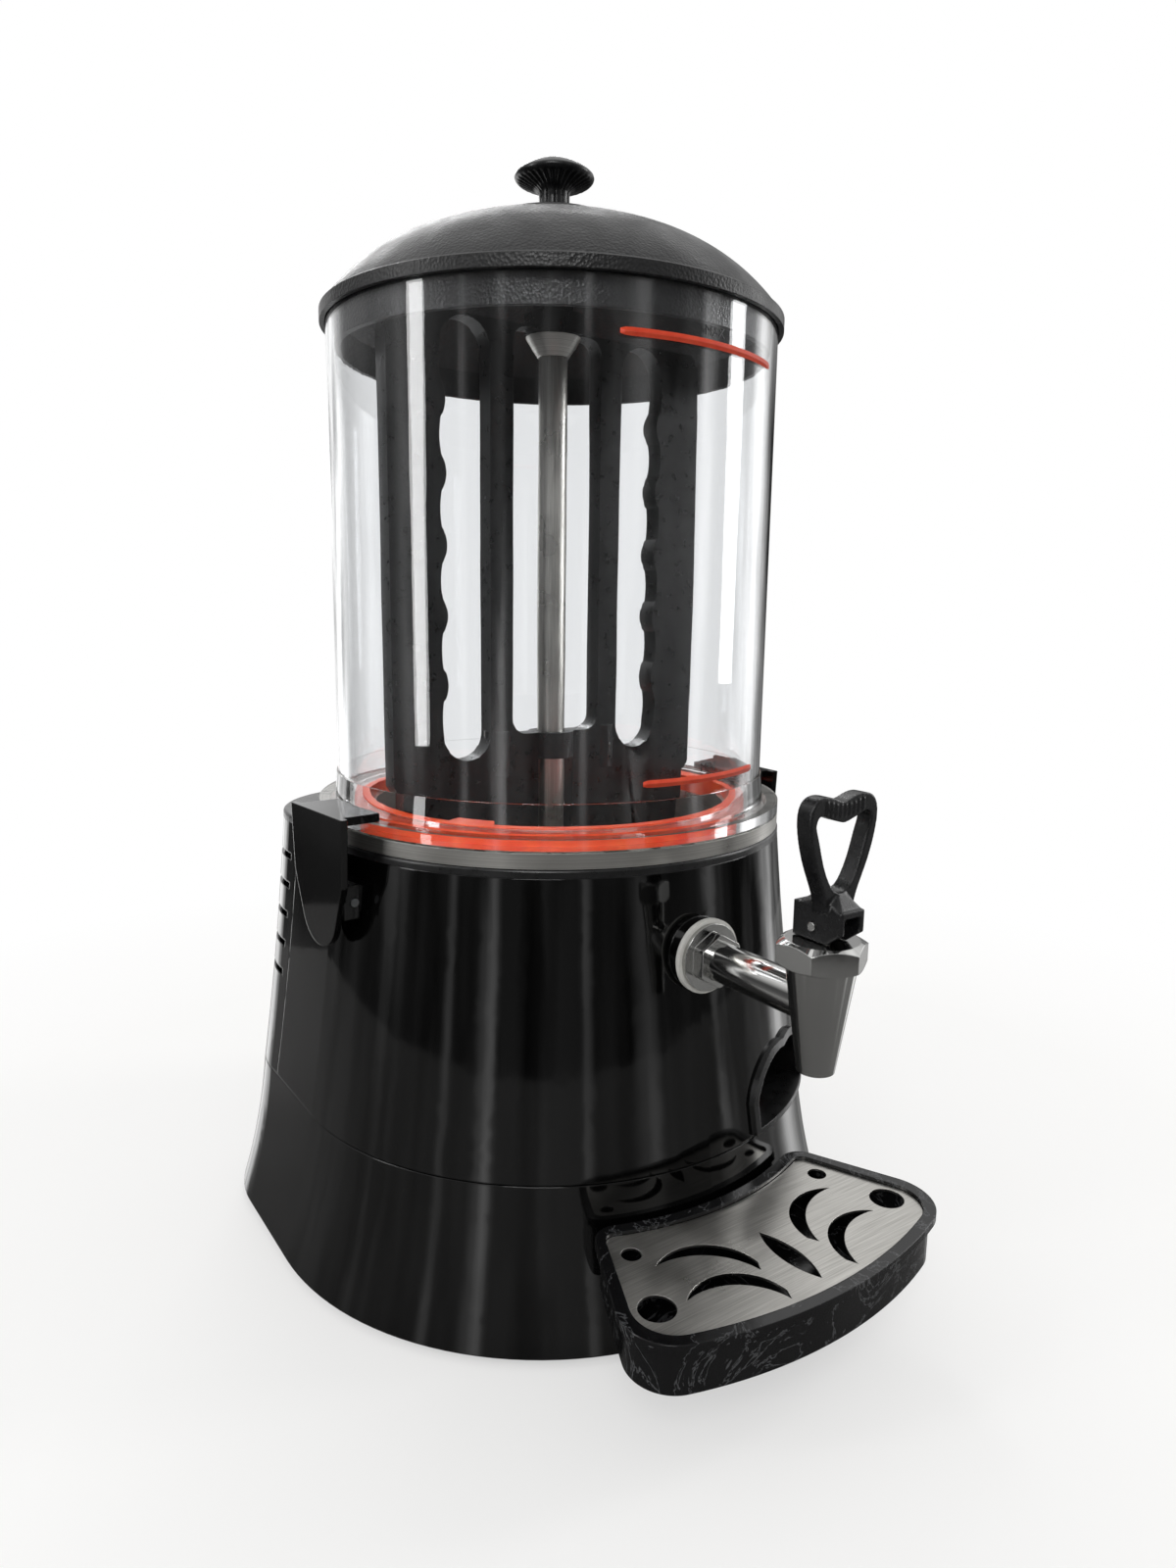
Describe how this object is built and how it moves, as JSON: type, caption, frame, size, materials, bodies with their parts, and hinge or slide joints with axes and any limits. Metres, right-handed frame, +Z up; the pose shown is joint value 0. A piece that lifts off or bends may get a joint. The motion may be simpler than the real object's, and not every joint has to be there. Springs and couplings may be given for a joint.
{
  "type": "hot chocolate dispenser machine",
  "caption": "Heated drink dispenser with a clear lidded bowl, turning stirrer, black housing on a flared base, front lever tap and a drip tray.",
  "frame": {"origin": "middle of the footprint on the table, under the centre of the overall box", "axes": "+Z up along the bowl axis, +X to the viewer's right, front with the tap towards -Y"},
  "size_m": [0.314, 0.3655, 0.5523],
  "materials": {
    "gloss_black_plastic": "glossy moulded ABS",
    "satin_black_plastic": "fine grained moulding",
    "grained_black_plastic": "leather grain moulding",
    "clear_plastic": "clear polycarbonate",
    "brushed_steel": "brushed stainless steel",
    "plain_steel": "zinc plated sheet",
    "chrome": "polished chrome",
    "orange_silicone": "smooth silicone",
    "clear_silicone": "smooth silicone",
    "rubber": "matt rubber",
    "grey_plastic": "moulded nylon",
    "cream_plastic": "moulded thermoset",
    "bronze": "sintered bronze",
    "motor_paint": "painted die casting",
    "lamp_plastic": "translucent lens"
  },
  "bodies": {
    "base": {"base_skirt": "gloss_black_plastic", "bottom_plate": "plain_steel", "bottom_screws": "plain_steel", "rubber_feet": "rubber", "front_housing": "gloss_black_plastic", "rear_cover": "gloss_black_plastic", "rear_cover_screws": "plain_steel", "top_deck": "satin_black_plastic", "water_tank": "brushed_steel", "steel_ring": "brushed_steel", "product_pan": "brushed_steel", "outlet_pipe": "brushed_steel", "centre_tube": "brushed_steel", "shaft_bushes": "bronze", "seal_ring": "orange_silicone", "bowl": "clear_plastic", "gearbox": "motor_paint", "drive_motor": "motor_paint", "motor_bracket": "plain_steel", "bracket_posts": "plain_steel", "heating_element": "brushed_steel", "overheat_cutout": "cream_plastic", "control_panel": "satin_black_plastic", "signal_lamps": "lamp_plastic", "thermostat_body": "cream_plastic", "switch_body": "satin_black_plastic", "latch_brackets": "satin_black_plastic", "latch_pins": "plain_steel", "tap_washer": "grey_plastic", "tap_nut": "chrome", "tap_body": "chrome", "tap_bonnet": "chrome", "terminal_block": "cream_plastic", "cable_gland": "satin_black_plastic"},
    "lid": {"lid_shell": "grained_black_plastic", "lid_knob": "satin_black_plastic", "knob_screw": "plain_steel"},
    "stirrer": {"stirrer_frame": "satin_black_plastic", "coupling_block": "satin_black_plastic", "drive_cup": "brushed_steel", "drive_shaft": "brushed_steel"},
    "tap_plunger": {"tap_stem": "brushed_steel", "tap_plug": "clear_silicone"},
    "tap_lever": {"tap_handle": "satin_black_plastic", "tap_pin": "chrome"},
    "dial": {"thermostat_dial": "satin_black_plastic"},
    "rocker": {"power_rocker": "gloss_black_plastic"},
    "latch_left": {"latch_left": "satin_black_plastic"},
    "latch_right": {"latch_right": "satin_black_plastic"},
    "tray": {"drip_tray": "gloss_black_plastic"},
    "grid": {"drip_grid": "brushed_steel"}
  },
  "joints": [
    {"name": "lid_lift", "type": "slide", "parent": "base", "child": "lid", "axis": [0, 0, 1], "range_m": [0, 0.1]},
    {"name": "stirrer_turn", "type": "hinge", "parent": "base", "child": "stirrer", "pos_m": [0, 0.04275, 0.3], "axis": [0, 0, 1], "continuous": true},
    {"name": "tap_plunger_lift", "type": "slide", "parent": "base", "child": "tap_plunger", "axis": [0, 0, 1], "range_m": [0, 0.005], "stiffness_N_per_m": 20, "springref_m": -0.008},
    {"name": "tap_lever_pull", "type": "hinge", "parent": "tap_plunger", "child": "tap_lever", "pos_m": [0, -0.15975, 0.211], "axis": [1, 0, 0], "range_deg": [0, 45]},
    {"name": "thermostat_turn", "type": "hinge", "parent": "base", "child": "dial", "pos_m": [0.04632, -0.07419, 0.0965], "axis": [0.4695, -0.8829, 0], "range_deg": [-270, 0]},
    {"name": "rocker_tilt", "type": "hinge", "parent": "base", "child": "rocker", "pos_m": [0.0707, -0.05613, 0.0965], "axis": [0.8829, 0.4695, 0], "range_deg": [-12, 0]},
    {"name": "latch_right_release", "type": "hinge", "parent": "base", "child": "latch_right", "pos_m": [0.1305, 0.03133, 0.197], "axis": [0.0872, 0.9962, 0], "range_deg": [0, 12], "stiffness_Nm_per_rad": 0.15, "springref_deg": -11.46},
    {"name": "latch_left_release", "type": "hinge", "parent": "base", "child": "latch_left", "pos_m": [-0.1305, 0.03133, 0.197], "axis": [0.0872, -0.9962, 0], "range_deg": [0, 12], "stiffness_Nm_per_rad": 0.15, "springref_deg": -11.46},
    {"name": "tray_pull", "type": "slide", "parent": "base", "child": "tray", "axis": [0, -1, 0], "range_m": [0, 0.08]},
    {"name": "grid_lift", "type": "slide", "parent": "tray", "child": "grid", "axis": [0, 0, 1], "range_m": [0, 0.04]}
  ],
  "couplings": [
    {"joint": "tap_lever_pull", "follows": "tap_plunger_lift", "rad_per_m": 157.08}
  ]
}
